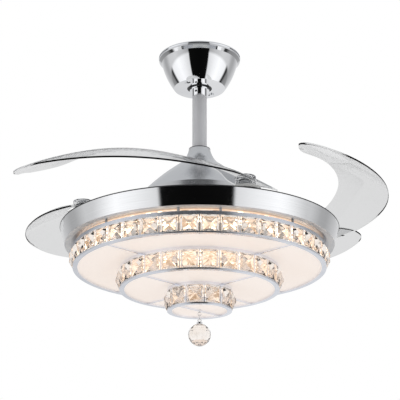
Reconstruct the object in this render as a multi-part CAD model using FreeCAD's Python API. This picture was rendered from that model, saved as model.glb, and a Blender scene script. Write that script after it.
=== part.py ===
import FreeCAD, Part
import math
import os

# Ceiling fan with four folding clear blades and a three-tier crystal lamp under its drum.
# Millimetres, +Z up, origin at the middle of the ceiling plate's upper face.
# Angles are in degrees, counter-clockwise seen from above, with the front at -90.

Vec = FreeCAD.Vector
UP = Vec(0, 0, 1)

# Fits shared by all pieces
overrun = 2.0
running_clearance = 0.05
slip_clearance = 0.2
seat_gap = 0.3
upright_share = 0.9

# Drum: its top rim carries the whole layout
rim_drop = 345.0
rim_radius = 250.0
band_flare = 9.0
band_bottom_radius = rim_radius - band_flare
band_height = 31.0
band_wall = 1.5
band_lip_width = 11.0
pan_thickness = 2.0

# Ceiling bracket
ceiling_slot_distance = 90.0
ceiling_slot_length = 16.0
ceiling_slot_width = 6.5
plate_end_margin = 5.0
plate_length = ceiling_slot_distance + ceiling_slot_length + 2 * plate_end_margin
plate_width = 40.0
bracket_sheet = 2.5
cradle_rim_gap = 5.4
cradle_ledge = 7.0
cradle_thickness = 3.0
receiver_length = 52.0
receiver_width = 34.0
receiver_height = 18.0
receiver_round = 3.0

# Canopy
canopy_ceiling_gap = 3.5
canopy_rim_radius = 76.5
canopy_ridge_inset = 0.9
canopy_groove_inset = 1.7
canopy_ridge_height = 3.0
canopy_rim_round = 2.4
canopy_groove_height = 1.6
canopy_shoulder_inset = 6.0
canopy_shoulder_drop = 15.5
canopy_belly_inset = 15.5
canopy_belly_drop = 43.5
canopy_bottom_inset = 28.9
canopy_height = 63.1
canopy_wall = 1.2
canopy_hole_gap = 4.5
canopy_screw_inset = 6.0
canopy_screw_angle = 49.0
canopy_screw_radius = 2.0
canopy_screw_head_radius = 3.8
canopy_screw_head_height = 2.0
canopy_keyhole_length = 10.0
canopy_bottom_radius = canopy_rim_radius - canopy_bottom_inset
cradle_radius = canopy_bottom_radius - canopy_wall - cradle_rim_gap
stirrup_span = 2 * (cradle_radius - cradle_ledge)
canopy_screw_circle = cradle_radius - canopy_screw_inset

# Hanger ball and downrod
rod_radius = 13.35
ball_cover = 8.65
ball_radius = rod_radius + ball_cover
ball_trim_share = 0.78
cradle_hole_share = 0.75
cradle_hole_radius = ball_radius * cradle_hole_share
rod_wall = 2.3
rod_above_ball = 3.0
rod_collar_wall = 5.15
rod_collar_radius = rod_radius + rod_collar_wall
canopy_hole_radius = rod_collar_radius + canopy_hole_gap
rod_collar_height = 5.0
rod_collar_gap = 1.2
rod_wire_hole_radius = 2.2
rod_wire_hole_drop = 75.0
rod_wire_hole_angle = -121.0
ball_pin_radius = 3.0

# Coupling between the rod and the motor shaft, heights above the drum's rim
coupling_bottom_height = 96.0
coupling_length = 52.0
coupling_top_height = coupling_bottom_height + coupling_length
coupling_wall = 3.65
coupling_radius = rod_radius + coupling_wall
coupling_body_wall = 6.65
coupling_body_radius = rod_radius + coupling_body_wall
coupling_flange_width = 16.0
coupling_flange_radius = coupling_radius + coupling_flange_width
coupling_flange_rise = 29.0
coupling_flange_height = coupling_bottom_height + coupling_flange_rise
coupling_flange_thickness = 4.0
rod_end_rise = 17.0
rod_end_height = coupling_bottom_height + rod_end_rise
coupling_bolt_rise = 42.0
coupling_bolt_height = coupling_bottom_height + coupling_bolt_rise
coupling_bolt_radius = 3.0
coupling_bolt_head_radius = 5.0
coupling_bolt_head_height = 3.5

# Coupling cover and dome, heights above the drum's rim
neck_top_rise = 9.0
neck_top_height = coupling_top_height + neck_top_rise
neck_top_gap = 6.15
neck_top_radius = rod_radius + neck_top_gap
neck_middle_share = 0.475
neck_middle_flare = 5.5
neck_middle_radius = neck_top_radius + neck_middle_flare
neck_bottom_rim = 3.0
neck_bottom_radius = coupling_flange_radius + neck_bottom_rim
cover_wall = 1.2
gasket_height = 4.5
gasket_inset = 0.6
dome_flange_thickness = 1.5
dome_bulge = 4.0
dome_rotor_gap = 34.0
dome_brim_height = 60.0
dome_skirt_bottom_height = 14.0
dome_vent_count = 6
dome_vent_angle = 30.0
dome_vent_inset = 12.0
dome_vent_length = 26.0
dome_vent_width = 2.8
dome_screw_count = 3
dome_screw_inset = 6.5
dome_screw_circle = coupling_flange_radius - dome_screw_inset
dome_screw_radius = 2.0
dome_screw_head_radius = 3.5
dome_screw_head_height = 2.2

# Motor, heights above the drum's rim
shaft_radius = 10.0
shaft_wall = 2.5
shaft_bore_radius = shaft_radius - shaft_wall
shaft_top_rise = 14.0
shaft_top_height = coupling_bottom_height + shaft_top_rise
shaft_shoulder_width = 3.0
shaft_shoulder_radius = shaft_radius + shaft_shoulder_width
shaft_collar_width = 8.0
shaft_collar_radius = shaft_radius + shaft_collar_width
shaft_collar_height = 4.0
shaft_tail = 11.0
shaft_nut_width = 6.0
shaft_nut_radius = shaft_radius + shaft_nut_width
shaft_nut_height = 7.0
bearing_width = 7.0
bearing_radius = shaft_radius + bearing_width
bearing_height = 10.0
bearing_boss_wall = 4.0
rotor_radius = 76.0
dome_brim_radius = rotor_radius + dome_rotor_gap
rotor_wall = 4.0
rotor_floor = 3.0
rotor_height = 66.0
rotor_split_height = 36.0
magnet_air_gap = 1.0
magnet_thickness = 4.6
magnet_shell_gap = 0.4
magnet_outer_radius = rotor_radius - rotor_wall - magnet_shell_gap
stator_radius = magnet_outer_radius - magnet_thickness - magnet_air_gap
stator_stack = 30.0
stator_base_height = 24.0
slot_count = 12
slot_inset = 18.0
slot_circle = stator_radius - slot_inset
slot_radius = 7.0
winding_overhang = 6.0
magnet_count = 12
magnet_gap_angle = 3.0

# Blade carrier and synchroniser, heights above the drum's rim
carrier_base_height = 1.0
carrier_thickness = 3.5
carrier_rim_gap = 14.0
carrier_radius = rim_radius - carrier_rim_gap
carrier_hole_gap = 22.0
carrier_hole_radius = shaft_collar_radius + carrier_hole_gap
carrier_screw_count = 6
carrier_screw_inset = 14.0
carrier_screw_circle = rotor_radius - carrier_screw_inset
carrier_screw_radius = 2.5
carrier_screw_head_radius = 4.5
carrier_screw_head_height = 3.0
guide_width = 4.0
guide_height = 3.5
gear_thickness = 5.0
gear_pressure_angle = 20.0
gear_backlash = 0.3
gear_dedendum_share = 1.25
gear_flank_steps = 4
blade_gear_teeth = 18
ring_gear_teeth = 112
blade_gear_low_count = 4
blade_gear_high_count = 3
ring_gear_side_count = 4
ring_gear_rim = 12.0

# Blade pivots, heights above the drum's rim
blade_count = 4
pivot_angle = 20.5
pivot_radius_share = 0.87
pivot_radius = rim_radius * pivot_radius_share
gear_module = 2 * pivot_radius / (blade_gear_teeth + ring_gear_teeth)
pivot_bolt_radius = 6.0
pivot_head_width = 4.0
pivot_head_radius = pivot_bolt_radius + pivot_head_width
pivot_head_height = 4.5
pivot_head_seat_height = 25.0
pivot_thread = 6.5
pivot_nut_width = 4.0
pivot_nut_radius = pivot_bolt_radius + pivot_nut_width
pivot_nut_height = 6.0
spring_wire_radius = 1.0
spring_bolt_gap = 3.5
spring_coil_radius = pivot_bolt_radius + spring_bolt_gap + spring_wire_radius
spring_wall_gap = 2.5
boss_chamber_radius = spring_coil_radius + spring_wire_radius + spring_wall_gap
boss_wall = 3.5
boss_radius = boss_chamber_radius + boss_wall
boss_top_height = 30.0
boss_head_gap = 1.5
boss_counterbore_radius = pivot_head_radius + boss_head_gap
boss_web = 3.0
spring_turn_count = 3

# Blade, half open: a sickle about a centre of its own, given as stations along its turn
blade_centre_share = 0.5175
blade_centre_distance = rim_radius * blade_centre_share
blade_centre_angle = -68.94
blade_root_angle = 45.4
blade_turn_angle = 139.0
blade_inner_radius_share = 0.58
blade_outer_radius_share = 0.996
blade_inner_radius = rim_radius * blade_inner_radius_share
blade_outer_radius = rim_radius * blade_outer_radius_share
blade_low_height = 13.5
blade_high_height = 74.0
blade_thickness = 3.0
blade_camber_share = 0.06
# along the turn, inner radius, outer radius, inner height, outer height
blade_station_shares = (
    (0.00, 0.42, 1.00, 0.26, 0.00),
    (0.14, 0.33, 0.94, 0.42, 0.02),
    (0.29, 0.23, 0.90, 0.64, 0.05),
    (0.44, 0.13, 0.90, 0.83, 0.11),
    (0.60, 0.04, 0.93, 0.96, 0.18),
    (0.74, 0.01, 0.96, 0.98, 0.27),
    (0.84, 0.06, 0.96, 0.92, 0.38),
    (0.91, 0.20, 0.93, 0.84, 0.48),
    (0.95, 0.40, 0.88, 0.77, 0.55),
    (0.97, 0.58, 0.77, 0.71, 0.61),
)

# Crystal tiers
tier_gap = 4.7
tier_height = 37.6
tier_1_inset = 15.5
tier_1_radius = band_bottom_radius - tier_1_inset
tier_radius_shares = (1.0, 0.6293, 0.2545)
tier_radii = [tier_1_radius * share for share in tier_radius_shares]
tier_ring_width = 8.5
tier_ring_thickness = 3.0
tier_1_ring_height = 6.5
top_ring_heights = (tier_1_ring_height, tier_ring_thickness, tier_ring_thickness)
crystal_counts = (42, 26, 11)
crystal_fill_share = 0.86
crystal_body = 3.6
crystal_crown = 5.5
crystal_table_share = 0.3
crystal_girdle_share = 0.96
post_width = 1.4
spoke_count = 4
spoke_width = 3.0
spoke_bite = 1.5
spoke_angle = 45.0
diffuser_thickness = 2.0
board_thickness = 1.6
seat_width = 4.0
tier_1_board_inset = 13.5
tier_1_board_width = 62.0
spacer_radius = 2.5
spacer_angles = (-9.0, 9.0, 45.0)
tier_screw_radius = 1.5
tier_screw_inset = 6.7
tier_screw_head_radius = 2.4
tier_screw_head_height = 1.8

# Lamp driver and lead
driver_length = 104.0
driver_width = 46.0
driver_height = 20.0
driver_rim_gap = 68.0
driver_round = 3.0
lead_radius = 1.8
lead_offset = 5.2

# Hanging crystal
hook_stud_radius = 2.0
hook_nut_radius = 4.0
hook_nut_height = 3.0
eye_radius = 2.9
eye_wire_radius = 0.7
eye_drop = 4.4
link_bend_radius = 2.2
link_length = 6.0
cap_radius = 5.0
cap_height = 3.0
crystal_ball_radius = 20.0
crystal_ball_columns = 12
crystal_ball_rows = 8

# Levels worked out from the sizes above
rim_z = -rim_drop
band_bottom_z = rim_z - band_height
pan_bottom_z = band_bottom_z + band_wall
pan_top_z = pan_bottom_z + pan_thickness
canopy_bottom_z = -canopy_ceiling_gap - canopy_height
cradle_bottom_z = canopy_bottom_z + canopy_wall
cradle_top_z = cradle_bottom_z + cradle_thickness
ball_z = cradle_top_z + math.sqrt((ball_radius + running_clearance) ** 2 - cradle_hole_radius**2)
rod_top_z = ball_z + ball_radius * ball_trim_share + rod_above_ball
carrier_bottom_z = rim_z + carrier_base_height
carrier_top_z = carrier_bottom_z + carrier_thickness
gear_bottom_z = carrier_top_z + seat_gap
gear_top_z = gear_bottom_z + gear_thickness
rotor_bottom_z = carrier_top_z
rotor_top_z = rotor_bottom_z + rotor_height
dome_flange_z = rim_z + coupling_flange_height
neck_bottom_z = dome_flange_z + dome_flange_thickness
tier_top_z = pan_bottom_z - band_wall - tier_gap
board_2_z = tier_top_z - tier_height + tier_ring_thickness
lamp_bottom_z = tier_top_z - len(tier_radii) * tier_height
eye_z = lamp_bottom_z - eye_drop
link_top_z = eye_z - eye_radius
link_bottom_z = link_top_z - link_length
cap_eye_z = link_bottom_z - eye_radius
cap_top_z = cap_eye_z - eye_radius - eye_wire_radius
ball_top_z = cap_top_z - cap_height


# Small helpers


def polar(radius, angle, z=0.0):
    turn = math.radians(angle)
    return Vec(radius * math.cos(turn), radius * math.sin(turn), z)


def rod(radius, bottom, top, centre=Vec()):
    return Part.makeCylinder(radius, top - bottom, Vec(centre.x, centre.y, bottom))


def tube(outer, inner, bottom, top, centre=Vec()):
    cut = rod(inner, bottom - overrun, top + overrun, centre)
    return rod(outer, bottom, top, centre).cut(cut)


def block(size, centre, bottom):
    corner = Vec(centre.x - size.x / 2, centre.y - size.y / 2, bottom)
    return Part.makeBox(size.x, size.y, size.z, corner)


def upright_edges(box):
    return [edge for edge in box.Edges if abs(edge.tangentAt(edge.FirstParameter).z) > upright_share]


def bar(radius, middle, direction, length):
    half = direction * (length / 2)
    return Part.makeCylinder(radius, length, middle - half, direction)


def hexagon(radius, bottom, top, centre=Vec()):
    corners = [centre + polar(radius, 60 * k) for k in range(7)]
    face = Part.Face(Part.makePolygon([Vec(c.x, c.y, bottom) for c in corners]))
    return face.extrude(UP * (top - bottom))


def between(low, high, share):
    return low + (high - low) * share


def turned(shape, angle, centre=Vec()):
    copy = shape.copy()
    copy.rotate(centre, UP, angle)
    return copy


def around(shape, count, first=0.0):
    return [turned(shape, first + 360 * k / count) for k in range(count)]


def span(points):
    """One edge of a profile: a line through two points or an arc through three."""
    places = [Vec(r, 0, z) for r, z in points]
    if len(places) == 2:
        return Part.LineSegment(*places).toShape()
    return Part.Arc(*places).toShape()


def revolved(spans, angle=360):
    """Turns a closed profile, given as spans of (radius, height), about the fan's axis."""
    profile = Part.Face(Part.Wire([span(points) for points in spans]))
    return profile.revolve(Vec(), UP, angle)


def rounded_corner(radius, z, size):
    """Arc that rounds the upper outer corner of a profile."""
    slack = size * (1 - math.sqrt(0.5))
    return (radius - size, z), (radius - slack, z - slack), (radius, z - size)


def chain(*points):
    """Closed profile of straight spans."""
    return [pair for pair in zip(points, points[1:] + points[:1])]


def export(name, *shapes):
    shape = shapes[0] if len(shapes) == 1 else Part.makeCompound(shapes)
    shape.exportStep("parts/" + name + ".step")


# Ceiling bracket and canopy


def slot_cutter(length, width, centre, bottom, top):
    reach = (length - width) / 2
    ends = [rod(width / 2, bottom, top, centre + Vec(side * reach, 0, 0)) for side in (-1, 1)]
    middle = block(Vec(2 * reach, width, top - bottom), centre, bottom)
    return middle.fuse(ends)


def hanger_bracket():
    plate = block(Vec(plate_length, plate_width, bracket_sheet), Vec(), -bracket_sheet)
    leg_height = -bracket_sheet - cradle_bottom_z
    leg_size = Vec(bracket_sheet, plate_width, leg_height)
    legs = [block(leg_size, Vec(side * stirrup_span / 2, 0, 0), cradle_bottom_z) for side in (-1, 1)]
    cradle = rod(cradle_radius, cradle_bottom_z, cradle_top_z)
    shape = plate.fuse(legs + [cradle]).removeSplitter()
    for side in (-1, 1):
        centre = Vec(side * ceiling_slot_distance / 2, 0, 0)
        low = -bracket_sheet - overrun
        cutter = slot_cutter(ceiling_slot_length, ceiling_slot_width, centre, low, overrun)
        shape = shape.cut(cutter)
    entry_size = Vec(2 * cradle_hole_radius, cradle_radius + overrun, cradle_thickness + 2 * overrun)
    entry = block(entry_size, Vec(0, entry_size.y / 2, 0), cradle_bottom_z - overrun)
    hole = rod(cradle_hole_radius, cradle_bottom_z - overrun, cradle_top_z + overrun)
    seat = Part.makeSphere(ball_radius + running_clearance, Vec(0, 0, ball_z))
    shape = shape.cut([entry, hole, seat])
    screw_holes = [
        rod(canopy_screw_radius, cradle_bottom_z - overrun, cradle_top_z + overrun, place)
        for place in canopy_screw_places()
    ]
    return shape.cut(screw_holes)


def canopy_screw_places():
    return [polar(canopy_screw_circle, canopy_screw_angle + 180 * k) for k in range(2)]


def canopy_side(inset):
    """Outer side of the canopy from rim to bottom, moved inwards by a wall."""
    top = -canopy_ceiling_gap
    ridge_bottom = top - canopy_ridge_height
    groove_bottom = ridge_bottom - canopy_groove_height
    second_bottom = groove_bottom - canopy_ridge_height
    rim = canopy_rim_radius - inset
    ridge, groove = rim - canopy_ridge_inset, rim - canopy_groove_inset
    shoulder = rim - canopy_shoulder_inset
    belly = (rim - canopy_belly_inset, -canopy_belly_drop)
    start = (shoulder, -canopy_shoulder_drop)
    end = (canopy_bottom_radius - inset, canopy_bottom_z + inset)
    steps = [
        (rim, top), (rim, ridge_bottom), (groove, ridge_bottom), (groove, groove_bottom),
        (ridge, groove_bottom), (ridge, second_bottom), start,
    ]
    return steps, (start, belly, end)


def canopy():
    steps, bowl = canopy_side(0)
    inner_steps, inner_bowl = canopy_side(canopy_wall)
    rounded = rounded_corner(*steps[0], canopy_rim_round)
    inner_mouth = (inner_steps[-1][0], steps[0][1])
    steps[0] = rounded[-1]
    spans = [rounded] + list(zip(steps, steps[1:])) + [bowl]
    floor_out, floor_in = (canopy_hole_radius, canopy_bottom_z), (canopy_hole_radius, inner_bowl[-1][1])
    spans += [(bowl[-1], floor_out), (floor_out, floor_in), (floor_in, inner_bowl[-1])]
    spans += [inner_bowl[::-1], (inner_steps[-1], inner_mouth), (inner_mouth, rounded[0])]
    shape = revolved(spans)
    slots = []
    hole_radius = canopy_screw_radius + slip_clearance
    low, high = canopy_bottom_z - overrun, cradle_bottom_z + overrun
    for place, angle in zip(canopy_screw_places(), (canopy_screw_angle, canopy_screw_angle + 180)):
        hole = rod(hole_radius, low, high, place)
        tangent = polar(canopy_keyhole_length / 2, angle + 90)
        slot = slot_cutter(canopy_keyhole_length, 2 * hole_radius, Vec(), low, high)
        slot.rotate(Vec(), UP, angle + 90)
        slot.translate(place + tangent - polar(canopy_screw_radius, angle + 90))
        slots += [hole, slot]
    return shape.cut(slots)


def canopy_screws():
    head_bottom = canopy_bottom_z - canopy_screw_head_height
    screws = []
    for place in canopy_screw_places():
        head = rod(canopy_screw_head_radius, head_bottom, canopy_bottom_z, place)
        screws.append(head.fuse(rod(canopy_screw_radius, canopy_bottom_z, cradle_top_z, place)))
    return screws


def receiver_box():
    size = Vec(receiver_length, receiver_width, receiver_height)
    box = block(size, Vec(), -bracket_sheet - receiver_height)
    return box.makeFillet(receiver_round, upright_edges(box))


# Hanger ball, rod and coupling


def hanger_ball():
    trim = ball_radius * ball_trim_share
    ball = Part.makeSphere(ball_radius, Vec(0, 0, ball_z))
    ball = ball.common(rod(ball_radius + overrun, ball_z - trim, ball_z + trim))
    bore = rod(rod_radius + running_clearance, ball_z - ball_radius, ball_z + ball_radius)
    return ball.cut([bore, ball_pin_hole()])


def ball_pin_hole():
    length = 2 * (ball_radius + overrun)
    return bar(ball_pin_radius + running_clearance, Vec(0, 0, ball_z), Vec(1, 0, 0), length)


def ball_pin():
    sphere = Part.makeSphere(ball_radius - seat_gap, Vec(0, 0, ball_z))
    return bar(ball_pin_radius, Vec(0, 0, ball_z), Vec(1, 0, 0), 2 * ball_radius).common(sphere)


def downrod():
    end = rim_z + rod_end_height
    shape = tube(rod_radius, rod_radius - rod_wall, end, rod_top_z)
    wire_hole = Part.makeCylinder(
        rod_wire_hole_radius, rod_radius + overrun,
        Vec(0, 0, -rod_wire_hole_drop), polar(1, rod_wire_hole_angle),
    )
    return shape.cut([ball_pin_hole(), coupling_bolt_hole(), wire_hole])


def rod_collar():
    top = cradle_bottom_z - rod_collar_gap
    return tube(rod_collar_radius, rod_radius + running_clearance, top - rod_collar_height, top)


def coupling_bolt_hole():
    middle = Vec(0, 0, rim_z + coupling_bolt_height)
    length = 2 * (coupling_radius + overrun)
    return bar(coupling_bolt_radius + running_clearance, middle, Vec(1, 0, 0), length)


def coupling():
    bottom, top = rim_z + coupling_bottom_height, rim_z + coupling_top_height
    flange_bottom = dome_flange_z - coupling_flange_thickness
    rod_end = rim_z + rod_end_height
    shape = rod(coupling_body_radius, bottom, flange_bottom).fuse([
        rod(coupling_flange_radius, flange_bottom, dome_flange_z),
        rod(coupling_radius, dome_flange_z, top),
    ])
    rod_bore = rod(rod_radius + running_clearance, rod_end, top + overrun)
    shaft_bore = rod(shaft_radius + running_clearance, bottom - overrun, rod_end)
    screw_holes = [rod(dome_screw_radius, bottom, top, place) for place in dome_screw_places()]
    return shape.cut([rod_bore, shaft_bore, coupling_bolt_hole()] + screw_holes)


def coupling_bolt():
    middle = Vec(0, 0, rim_z + coupling_bolt_height)
    along = Vec(1, 0, 0)
    shank = bar(coupling_bolt_radius, middle, along, 2 * coupling_radius)
    reach = along * (coupling_radius + coupling_bolt_head_height / 2)
    heads = [
        bar(coupling_bolt_head_radius, middle + reach * side, along, coupling_bolt_head_height)
        for side in (-1, 1)
    ]
    return shank.fuse(heads)


def coupling_cover():
    top = rim_z + neck_top_height
    middle = between(neck_bottom_z, top, neck_middle_share)
    outer = ((neck_top_radius, top), (neck_middle_radius, middle), (neck_bottom_radius, neck_bottom_z))
    inner = tuple((r - cover_wall, z) for r, z in outer)
    return revolved([outer, (outer[-1], inner[-1]), inner[::-1], (inner[0], outer[0])])


def cover_gasket():
    top = rim_z + neck_top_height - gasket_inset
    return tube(neck_top_radius - cover_wall, rod_radius + running_clearance, top - gasket_height, top)


def dome_screw_places():
    return [polar(dome_screw_circle, 360 * k / dome_screw_count) for k in range(dome_screw_count)]


def top_cover():
    brim_z = rim_z + dome_brim_height
    skirt_z = rim_z + dome_skirt_bottom_height
    start = (neck_bottom_radius, neck_bottom_z)
    middle = ((neck_bottom_radius + dome_brim_radius) / 2, (neck_bottom_z + brim_z) / 2 + dome_bulge)
    outer = (start, middle, (dome_brim_radius, brim_z))
    inner = (
        (neck_bottom_radius - cover_wall, dome_flange_z),
        (middle[0] - cover_wall, middle[1] - cover_wall),
        (dome_brim_radius - cover_wall, brim_z - cover_wall),
    )
    skirt_out, skirt_in = (dome_brim_radius, skirt_z), (dome_brim_radius - cover_wall, skirt_z)
    flange = coupling_radius + slip_clearance
    hole_low, hole_high = (flange, dome_flange_z), (flange, neck_bottom_z)
    shape = revolved([
        outer, (outer[-1], skirt_out), (skirt_out, skirt_in), (skirt_in, inner[-1]), inner[::-1],
        (inner[0], hole_low), (hole_low, hole_high), (hole_high, start),
    ])
    vent_size = Vec(dome_vent_width, dome_vent_length, neck_bottom_z - skirt_z)
    vent = block(vent_size, Vec(neck_bottom_radius + dome_vent_inset, 0, 0), skirt_z)
    screw_holes = [
        rod(dome_screw_radius + slip_clearance, dome_flange_z - overrun, neck_bottom_z + overrun, place)
        for place in dome_screw_places()
    ]
    return shape.cut(around(vent, dome_vent_count, dome_vent_angle) + screw_holes)


def top_cover_screws():
    flange_bottom = dome_flange_z - coupling_flange_thickness
    screws = []
    for place in dome_screw_places():
        head = rod(dome_screw_head_radius, neck_bottom_z, neck_bottom_z + dome_screw_head_height, place)
        screws.append(head.fuse(rod(dome_screw_radius, flange_bottom, neck_bottom_z, place)))
    return screws


# Motor


def motor_shaft():
    top = rim_z + shaft_top_height
    tail = pan_bottom_z - shaft_tail
    shoulder_top = lower_bearing_z() - seat_gap
    collar_top = pan_top_z + shaft_collar_height
    shape = rod(shaft_radius, tail, top).fuse([
        rod(shaft_collar_radius, pan_top_z, collar_top),
        rod(shaft_shoulder_radius, collar_top, shoulder_top),
    ])
    return shape.cut(rod(shaft_bore_radius, tail - overrun, top + overrun))


def shaft_nut():
    bottom = pan_bottom_z - shaft_nut_height
    nut = hexagon(shaft_nut_radius, bottom, pan_bottom_z)
    return nut.cut(rod(shaft_radius + running_clearance, bottom - overrun, pan_top_z))


def bearing(bottom):
    return tube(bearing_radius, shaft_radius + running_clearance, bottom, bottom + bearing_height)


def lower_bearing_z():
    return rotor_bottom_z + rotor_floor


def upper_bearing_z():
    return rotor_top_z - rotor_floor - bearing_height


def rotor_lower_shell():
    floor_top = rotor_bottom_z + rotor_floor
    wall_top = rotor_bottom_z + rotor_split_height
    boss_radius_outer = bearing_radius + running_clearance + bearing_boss_wall
    shape = rod(rotor_radius, rotor_bottom_z, floor_top).fuse([
        tube(rotor_radius, rotor_radius - rotor_wall, rotor_bottom_z, wall_top),
        rod(boss_radius_outer, rotor_bottom_z, floor_top + bearing_height),
    ])
    pocket = rod(bearing_radius + running_clearance, floor_top, floor_top + bearing_height + overrun)
    shaft_hole = rod(shaft_shoulder_radius + seat_gap, rotor_bottom_z - overrun, floor_top + overrun)
    holes = [
        rod(carrier_screw_radius, rotor_bottom_z - overrun, floor_top + overrun, place)
        for place in carrier_screw_places()
    ]
    return shape.cut([pocket, shaft_hole] + holes)


def rotor_upper_shell():
    wall_bottom = rotor_bottom_z + rotor_split_height
    ceiling = rotor_top_z - rotor_floor
    boss_radius_outer = bearing_radius + running_clearance + bearing_boss_wall
    shape = rod(rotor_radius, ceiling, rotor_top_z).fuse([
        tube(rotor_radius, rotor_radius - rotor_wall, wall_bottom, rotor_top_z),
        rod(boss_radius_outer, ceiling - bearing_height, ceiling),
    ])
    pocket = rod(bearing_radius + running_clearance, ceiling - bearing_height - overrun, ceiling)
    shaft_hole = rod(shaft_radius + slip_clearance, ceiling - overrun, rotor_top_z + overrun)
    return shape.cut([pocket, shaft_hole])


def stator_core():
    bottom = rim_z + stator_base_height
    core = tube(stator_radius, shaft_radius + running_clearance, bottom, bottom + stator_stack)
    slot = rod(slot_radius, bottom - overrun, bottom + stator_stack + overrun, Vec(slot_circle, 0, 0))
    return core.cut(around(slot, slot_count))


def stator_windings():
    bottom = rim_z + stator_base_height - winding_overhang
    top = bottom + stator_stack + 2 * winding_overhang
    return around(rod(slot_radius - seat_gap, bottom, top, Vec(slot_circle, 0, 0)), slot_count)


def rotor_magnets():
    outer = magnet_outer_radius
    inner = outer - magnet_thickness
    bottom = rim_z + stator_base_height
    top = bottom + stator_stack
    profile = chain((inner, bottom), (outer, bottom), (outer, top), (inner, top))
    return around(revolved(profile, 360 / magnet_count - magnet_gap_angle), magnet_count)


# Blade carrier, synchroniser gear and pivots


def carrier_screw_places():
    return [polar(carrier_screw_circle, 360 * k / carrier_screw_count) for k in range(carrier_screw_count)]


def pivot_places():
    return [polar(pivot_radius, blade_angle(k)) for k in range(blade_count)]


def blade_angle(index):
    return pivot_angle + 360 * index / blade_count


def ring_gear_bore():
    return ring_gear_teeth * gear_module / 2 - gear_module * gear_dedendum_share - ring_gear_rim


def blade_carrier():
    guide_outer = ring_gear_bore() - running_clearance
    shape = tube(carrier_radius, carrier_hole_radius, carrier_bottom_z, carrier_top_z)
    guide_top = carrier_top_z + guide_height
    shape = shape.fuse(tube(guide_outer, guide_outer - guide_width, carrier_bottom_z, guide_top))
    low, high = carrier_bottom_z - overrun, carrier_top_z + overrun
    screw_radius = carrier_screw_radius + slip_clearance
    holes = [rod(screw_radius, low, high, place) for place in carrier_screw_places()]
    holes += [rod(pivot_bolt_radius + running_clearance, low, high, place) for place in pivot_places()]
    return shape.cut(holes).removeSplitter()


def carrier_screws():
    head_bottom = carrier_bottom_z - carrier_screw_head_height
    screws = []
    for place in carrier_screw_places():
        head = rod(carrier_screw_head_radius, head_bottom, carrier_bottom_z, place)
        shank = rod(carrier_screw_radius, carrier_bottom_z, rotor_bottom_z + rotor_floor, place)
        screws.append(head.fuse(shank))
    return screws


def involute(angle):
    return math.tan(angle) - angle


def tooth_profile(teeth):
    """One tooth pointing along +X: (radius, half angle in degrees) from root to tip."""
    pitch = teeth * gear_module / 2
    pressure = math.radians(gear_pressure_angle)
    base = pitch * math.cos(pressure)
    root = pitch - gear_module * gear_dedendum_share
    tip = pitch + gear_module
    half_pitch = math.pi / (2 * teeth) - gear_backlash / (2 * pitch)
    start = max(root, base)
    radii = [root] + [start + (tip - start) * k / gear_flank_steps for k in range(gear_flank_steps + 1)]
    profile = []
    for radius in radii:
        roll = math.acos(min(1, base / max(radius, base)))
        half = half_pitch + involute(pressure) - involute(roll)
        if not profile or radius > profile[-1][0]:
            profile.append((radius, math.degrees(half)))
    return profile


def tooth(teeth):
    profile = tooth_profile(teeth)
    root, half = profile[0]
    foot = root - gear_module / 2
    flank = [(foot, half)] + profile
    points = [polar(r, -a, gear_bottom_z) for r, a in flank]
    points += [polar(r, a, gear_bottom_z) for r, a in flank[::-1]]
    face = Part.Face(Part.makePolygon(points + points[:1]))
    return face.extrude(UP * gear_thickness)


def ring_gear_step():
    return 360 / ring_gear_teeth


def sync_ring():
    root = ring_gear_teeth * gear_module / 2 - gear_module * gear_dedendum_share
    ring = tube(root, ring_gear_bore(), gear_bottom_z, gear_top_z)
    shape = tooth(ring_gear_teeth)
    teeth = [
        turned(shape, blade_angle(blade) + (k + 0.5) * ring_gear_step())
        for blade in range(blade_count)
        for k in range(-ring_gear_side_count, ring_gear_side_count + 1)
    ]
    return ring.fuse(teeth).removeSplitter()


def blade_gear(index):
    root = blade_gear_teeth * gear_module / 2 - gear_module * gear_dedendum_share
    shape = tooth(blade_gear_teeth)
    sector = range(-blade_gear_low_count, blade_gear_high_count + 1)
    teeth = [turned(shape, 180 + 360 * k / blade_gear_teeth) for k in sector]
    gear = rod(root, gear_bottom_z, gear_top_z).fuse(teeth).removeSplitter()
    bore = rod(pivot_bolt_radius + running_clearance, gear_bottom_z - overrun, gear_top_z + overrun)
    gear = gear.cut(bore)
    gear.translate(Vec(pivot_radius, 0, 0))
    return turned(gear, blade_angle(index))


def pivot_bolts():
    seat = rim_z + pivot_head_seat_height + seat_gap
    thread_end = carrier_bottom_z - pivot_thread
    bolts = []
    for place in pivot_places():
        head = rod(pivot_head_radius, seat, seat + pivot_head_height, place)
        bolts.append(head.fuse(rod(pivot_bolt_radius, thread_end, seat, place)))
    return bolts


def pivot_nuts():
    nuts = []
    for place in pivot_places():
        nut = hexagon(pivot_nut_radius, carrier_bottom_z - pivot_nut_height, carrier_bottom_z, place)
        low = carrier_bottom_z - pivot_nut_height - overrun
        nuts.append(nut.cut(rod(pivot_bolt_radius + running_clearance, low, carrier_top_z, place)))
    return nuts


def arc_from(start, corner, end):
    """Arc that leaves start towards corner and reaches end from corner."""
    chord = (start + end) * 0.5
    cosine = (end - start).Length / (2 * (corner - start).Length)
    return Part.Arc(start, chord + (corner - chord) * (cosine / (1 + cosine)), end).toShape()


def biarc(start, heading, end, arriving):
    """Two arcs that share a tangent and join two points along given directions."""
    across, both = end - start, heading + arriving
    lack = 2 * (1 - heading.dot(arriving))
    along = across.dot(both)
    reach = (math.sqrt(along**2 + lack * across.dot(across)) - along) / lack
    first, second = start + heading * reach, end - arriving * reach
    joint = (first + second) * 0.5
    return [arc_from(start, first, joint), arc_from(joint, second, end)]


def spring_levels():
    """Lowest and highest level of the spring's centre line in the boss's chamber."""
    return gear_top_z + seat_gap + spring_wire_radius, chamber_top_z() - seat_gap - spring_wire_radius


def chamber_top_z():
    return rim_z + pivot_head_seat_height - boss_web


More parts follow.
